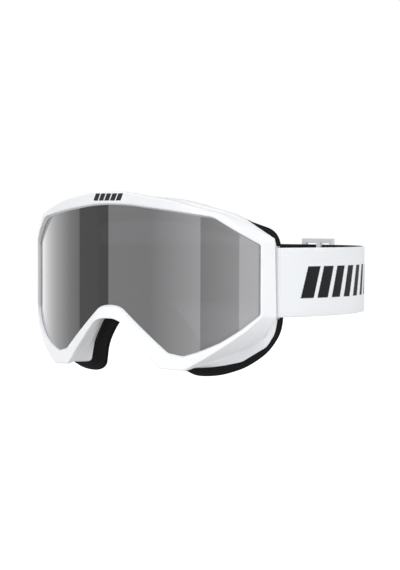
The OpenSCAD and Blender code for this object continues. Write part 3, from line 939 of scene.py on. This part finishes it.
def stitchRow(centres, directions, normals):
    # each stitch is a short arc of thread: a tube whose middle stands proud and whose ends dive in
    rows, cols = stitchShape["spinePoints"], stitchShape["ringPoints"]
    t = np.linspace(-1, 1, rows)
    ring = np.linspace(0, 2 * np.pi, cols, endpoint=False)
    half, radius = stitchShape["length"] / 2, stitchShape["radius"]
    forward = directions[:, None, :] * (t * half)[None, :, None]
    lift = normals[:, None, :] * (radius * (0.75 - 1.3 * t ** 2))[None, :, None]
    spine = centres[:, None, :] + forward + lift
    side = np.cross(directions, normals)
    swell = radius * np.sqrt(np.clip(1.02 - t ** 2, 0.05, 1))
    points = spine[:, :, None, :] + swell[None, :, None, None] * (
        np.cos(ring)[None, None, :, None] * side[:, None, None, :]
        + np.sin(ring)[None, None, :, None] * normals[:, None, None, :])
    # each end's ring of six is closed by two quads
    cap = np.array([[0, 1, 2, 3], [0, 3, 4, 5]])
    caps = [cap, cap[:, ::-1] + (rows - 1) * cols]
    one = outward(points[0].reshape(-1, 3), np.vstack([gridFaces(rows, cols, False, True)[:, ::-1]] + caps))
    offsets = np.arange(len(centres))[:, None, None] * rows * cols
    return points.reshape(-1, 3), (one[None] + offsets).reshape(-1, 4)


def stitchBox(name, node, body, middle, radius, along, height, facing, mirror=False):
    # two lines along the strap and two across it, sewn through the plies; middle is in degrees of the
    # loop, and facing is 1 on the strap's outer face or -1 on its inner one
    pitch = stitchShape["pitch"]
    rows = []
    for length, width, upright in ((along, height, 0), (height, along, 1)):
        count = int(length / pitch)
        places = (np.arange(count) - (count - 1) / 2) * pitch
        for edge in (-width / 2, width / 2):
            pair = (np.full(count, edge), places) if upright else (places, np.full(count, edge))
            rows.append(np.stack([*pair, np.full(count, upright)], 1))
    table = np.vstack(rows)
    angle = middle + table[:, 0] * degPerMm
    centres = np.column_stack([onLoop(angle, radius), table[:, 1] + strapShape["height"]])
    turn = np.radians(angle)
    out = np.stack([np.sin(turn), np.cos(turn), np.zeros(len(turn))], 1) * facing
    run = np.stack([np.cos(turn), -np.sin(turn), np.zeros(len(turn))], 1)
    directions = np.where(table[:, 2:] > 0.5, [0.0, 0.0, 1.0], run)
    points, faces = stitchRow(centres, directions, out)
    if mirror:
        points, faces = points * [-1, 1, 1], faces[:, ::-1]
    finishPiece(makeObject(name, points, faces, [thread]), body, "thread", node)


def blackPrint():
    # black two-part ink, pad printed: matt, with a slightly uneven film
    material, tree = newMaterial("blackPadPrint", {"Roughness": 0.5})
    where = addNode(tree, "ShaderNodeTexCoord").outputs["Object"]
    film = addNode(tree, "ShaderNodeTexNoise", {"Vector": where, "Scale": 700.0, "Detail": 3.0})
    addNode(tree, "ShaderNodeValToRGB", {"Fac": film}, "Base Color",
            [(0.3, linear("#232426")), (0.7, linear("#333437"))])
    return material


browShape = {
    "middle": -0.2,
    "count": 5,
    "pitch": 4.0,
    "width": 3.2,
    "low": 48.5,
    "high": 52.6,
    "lean": 1.2,
    "proud": 0.07,         # mm that the ink stands over the face
    "film": 0.12,          # mm, with what is sunk into the face
}


def topEdge(line):
    # the upper run of a closed line, in order of x
    upper = line[line[:, 2] > 20]
    return upper[np.argsort(upper[:, 0])]


def frontFace(x, z):
    # depth of the brow's face: heights run straight from the lip's crown to the crest
    edges = []
    for line in shellLines()[1:3]:
        top = topEdge(curve(line, 1600, shellShape["frontRound"]))
        edges.append((np.interp(x, top[:, 0], top[:, 2]),
                      np.interp(x, top[:, 0], heightAt(top[:, 0], top[:, 1]))))
    (lowZ, lowH), (highZ, highH) = edges
    return depthAt(x, lowH + (highH - lowH) * (z - lowZ) / (highZ - lowZ))


def buildBrowMark():
    # slanted bars of ink laid on the brow's face
    across, up = np.meshgrid(np.linspace(-0.5, 0.5, 9), np.linspace(0, 1, 5))
    z = browShape["low"] + (browShape["high"] - browShape["low"]) * up
    points, faces = [], []
    for i in range(browShape["count"]):
        middle = browShape["middle"] + (i - (browShape["count"] - 1) / 2) * browShape["pitch"]
        x = middle + across * browShape["width"] + (up - 0.5) * browShape["lean"] * 2
        outer = np.stack([x, frontFace(x, z) - browShape["proud"], z], -1).reshape(-1, 3)
        sheets = np.vstack([outer, back(outer, browShape["film"])])
        faces.append(outward(sheets, sheetFaces(*z.shape)) + len(sheets) * i)
        points.append(sheets)
    mark = makeObject("browMark", np.vstack(points), np.vstack(faces), [blackPrint()], None, rimAngle)
    finishPiece(mark, "frame", "mark_print", "brow_mark")


def drawnWire():
    # drawn stainless wire: fine scratches along its length
    material, tree = newMaterial("drawnStainlessWire", {"Base Color": linear("#b9bbbf"), "Metallic": 1.0})
    where = addNode(tree, "ShaderNodeTexCoord").outputs["Object"]
    stretched = addNode(tree, "ShaderNodeMapping", {"Vector": where, "Scale": (2000.0, 2000.0, 60.0)})
    scratch = addNode(tree, "ShaderNodeTexNoise", {"Vector": stretched, "Scale": 1.0, "Detail": 2.0})
    addNode(tree, "ShaderNodeMapRange", {"Value": scratch, "To Min": 0.22, "To Max": 0.4}, "Roughness")
    return material


ventFoamShape = {
    "halfLength": 36,
    "thickness": 1.5,
    "clear": 0.5,          # mm from the wall
}


def buildVentFoam():
    # a thin filter strip under the brow's wall, from the inner waist to the inner shoulder
    inset = shellShape["wall"] + ventFoamShape["clear"]
    waist = back(innerWaist(inset), 1)
    shoulder = back(grown(mirrored(shellShape["shoulder"]), -inset), -1)
    x = np.linspace(-ventFoamShape["halfLength"], ventFoamShape["halfLength"], 90)
    ends = []
    for line in (waist, shoulder):
        edge = topEdge(curve(line, 1600, shellShape["rearRound"]))
        ends.append([np.interp(x, edge[:, 0], edge[:, 1]), np.interp(x, edge[:, 0], edge[:, 2])])
    share = np.linspace(0, 1, 12)[:, None]
    depth, z = (between(ends[0][k], ends[1][k], share) for k in (0, 1))
    top = np.stack([np.broadcast_to(x, depth.shape), depth, z], -1).reshape(-1, 3)
    points = np.vstack([top, top - [0, 0, ventFoamShape["thickness"]]])
    faces = outward(points, sheetFaces(*depth.shape))
    strip = makeObject("browVentFoam", points, faces, [gasketFoam], None, rimAngle)
    finishPiece(strip, "frame", "gasket_foam", "brow_vent_foam")


thread = threadMaterial()
plyFace = strapShape["radius"] - 1.5 * strapShape["thickness"]
sewnMiddle, tailMiddle = (strapShape["adjusterAt"] - (15 + mmOn) * degPerMm for mmOn in (11, 40))
for sideName in ("right", "left"):
    stitchBox("endStitching" + sideName.capitalize(), "end_stitching_" + sideName, "frame",
              anchorAngle - 7.4, plyFace - 0.08, 7.0, 33.0, -1, sideName == "left")
stitchBox("adjusterStitching", "adjuster_stitching", "adjuster",
          sewnMiddle, strapShape["radius"] + 0.5 * strapShape["thickness"], 6.0, 33.0, 1)
stitchBox("tailStitching", "tail_stitching", "adjuster", tailMiddle, plyFace - 0.15, 4.2, 35.0, -1)
buildBrowMark()
buildVentFoam()
wire = drawnWire()
for name in ("strap_bar_left", "strap_bar_right"):
    recolour(name, wire)
print("stitching, mark, vent foam and bars")


# floor, cards and lights

stageShape = {
    "floorDrop": 0.36,     # m under the origin
    "floorHalf": 6,        # m from its middle to its sides
    "cardDistance": 1.3,   # m from the lens to the reflector cards
    "cardHeight": 0.7,
    "low": 0.54,           # brightness of the white room under and over the goggles
    "high": 0.68,
    "seen": 1.02,          # brightness of what the camera sees behind them
}


def stagePiece(name, points, faces, material):
    mesh = bpy.data.meshes.new(name)
    mesh.from_pydata(points.tolist(), [], faces.tolist())
    mesh.materials.append(material)
    piece = bpy.data.objects.new(name, mesh)
    bpy.context.scene.collection.objects.link(piece)
    piece.visible_diffuse = False
    return piece


def buildFloor():
    half = stageShape["floorHalf"]
    x, y = np.meshgrid(np.linspace(-half, half, 9), np.linspace(-half, half, 9))
    points = np.stack([x, y, np.full_like(x, -stageShape["floorDrop"])], -1).reshape(-1, 3)
    material = newMaterial("paleFloor", {"Base Color": linear("#f4f4f4"), "Roughness": 0.9,
                                         "Emission Color": (1, 1, 1, 1), "Emission Strength": 0.6})[0]
    floor = stagePiece("floor", points, gridFaces(9, 9), material)
    floor.visible_glossy = False


def buildCard(name, fromAngle, toAngle, glow):
    # an upright curved card, seen only in the lens: azimuth 0 is straight ahead of the lens, and its
    # glow runs evenly from one end's to the other's
    turn = np.radians(np.linspace(fromAngle, toAngle, 24))
    z = np.linspace(-stageShape["cardHeight"] / 2, stageShape["cardHeight"] / 2, 2)[:, None]
    r = stageShape["cardDistance"]
    x, y, z = np.broadcast_arrays(r * np.sin(turn), lensFront * mm - r * np.cos(turn), z)
    material = bpy.data.materials.new(name)
    material.use_nodes = True
    tree = material.node_tree
    tree.nodes.clear()
    where = addNode(tree, "ShaderNodeTexCoord").outputs["Object"]
    parts = addNode(tree, "ShaderNodeSeparateXYZ", {"Vector": where}).outputs
    away = addNode(tree, "ShaderNodeMath", {0: lensFront * mm, 1: parts[1]}, operation="SUBTRACT")
    azimuth = addNode(tree, "ShaderNodeMath", {0: parts[0], 1: away}, operation="ARCTAN2")
    level = addNode(tree, "ShaderNodeMapRange", {
        "Value": azimuth, "From Min": math.radians(fromAngle), "From Max": math.radians(toAngle),
        "To Min": glow[0], "To Max": glow[1]})
    light = addNode(tree, "ShaderNodeEmission", {"Strength": level})
    addNode(tree, "ShaderNodeOutputMaterial", {"Surface": light})
    card = stagePiece(name, np.stack([x, y, z], -1).reshape(-1, 3), gridFaces(2, 24), material)
    card.visible_camera = False
    card.visible_shadow = False


def addAreaLight(name, azimuth, elevation, distance, size, level):
    # a square soft light; level is the light it gives to a face turned to it, as a share of white
    az, el = math.radians(azimuth), math.radians(elevation)
    away = np.array([math.sin(az) * math.cos(el), -math.cos(az) * math.cos(el), math.sin(el)])
    data = bpy.data.lights.new(name, "AREA")
    data.size = size
    data.energy = level * math.pi ** 2 * distance ** 2
    light = bpy.data.objects.new(name, data)
    side = np.cross([0, 0, 1.0], away)
    side /= np.linalg.norm(side)
    up = np.cross(away, side)
    columns = np.stack([side, up, away, away * distance], 1)
    light.matrix_world = Matrix([list(row) for row in columns] + [[0, 0, 0, 1]])
    bpy.context.scene.collection.objects.link(light)
    light.visible_glossy = False


def buildWorld():
    world = bpy.data.worlds.new("studio")
    world.use_nodes = True
    tree = world.node_tree
    seen = addNode(tree, "ShaderNodeLightPath").outputs["Is Camera Ray"]
    way = addNode(tree, "ShaderNodeTexCoord").outputs["Generated"]
    rise = addNode(tree, "ShaderNodeSeparateXYZ", {"Vector": way}).outputs[2]
    fill = addNode(tree, "ShaderNodeMapRange", {"Value": rise, "From Min": -0.5, "From Max": 0.5,
                                                "To Min": stageShape["low"], "To Max": stageShape["high"]})
    level = addNode(tree, "ShaderNodeMapRange",
                    {"Value": seen, "To Min": fill, "To Max": stageShape["seen"]})
    background = tree.nodes["Background"]
    background.inputs["Color"].default_value = (1, 1, 1, 1)
    tree.links.new(level.outputs[0], background.inputs["Strength"])
    bpy.context.scene.world = world


cards = [
    # name, from and to azimuth, brightness at each of the two ends
    ("cardEdgeLeft", -136, -116.6, (1.35, 1.05)),
    ("cardBack", -116.6, -104.6, (1.05, 0.81)),
    ("cardFade", -104.6, -92.4, (0.81, 0.578)),
    ("cardDim", -92.4, -75.1, (0.578, 0.326)),
    ("cardGrey", -75.1, -64.5, (0.326, 0.245)),
    ("cardBlack", -64.5, -37.5, (0.128, 0.124)),
    ("cardFront", -37.5, -4.9, (0.365, 0.353)),
    ("cardRise", -4.9, 30.4, (0.353, 0.62)),
    ("cardRight", 30.4, 56.6, (0.37, 0.535)),
    ("cardEdge", 56.6, 82, (0.77, 0.84)),
]
buildFloor()
for cardName, low, high, glow in cards:
    buildCard(cardName, low, high, glow)
buildWorld()
addAreaLight("front", -12, 26, 2.0, 1.2, 0.45)
addAreaLight("fill", 48, 4, 2.0, 1.2, 0.15)
addAreaLight("right", 96, 6, 2.0, 1.2, 0.26)
bpy.context.scene.view_settings.view_transform = "Standard"
print("studio")
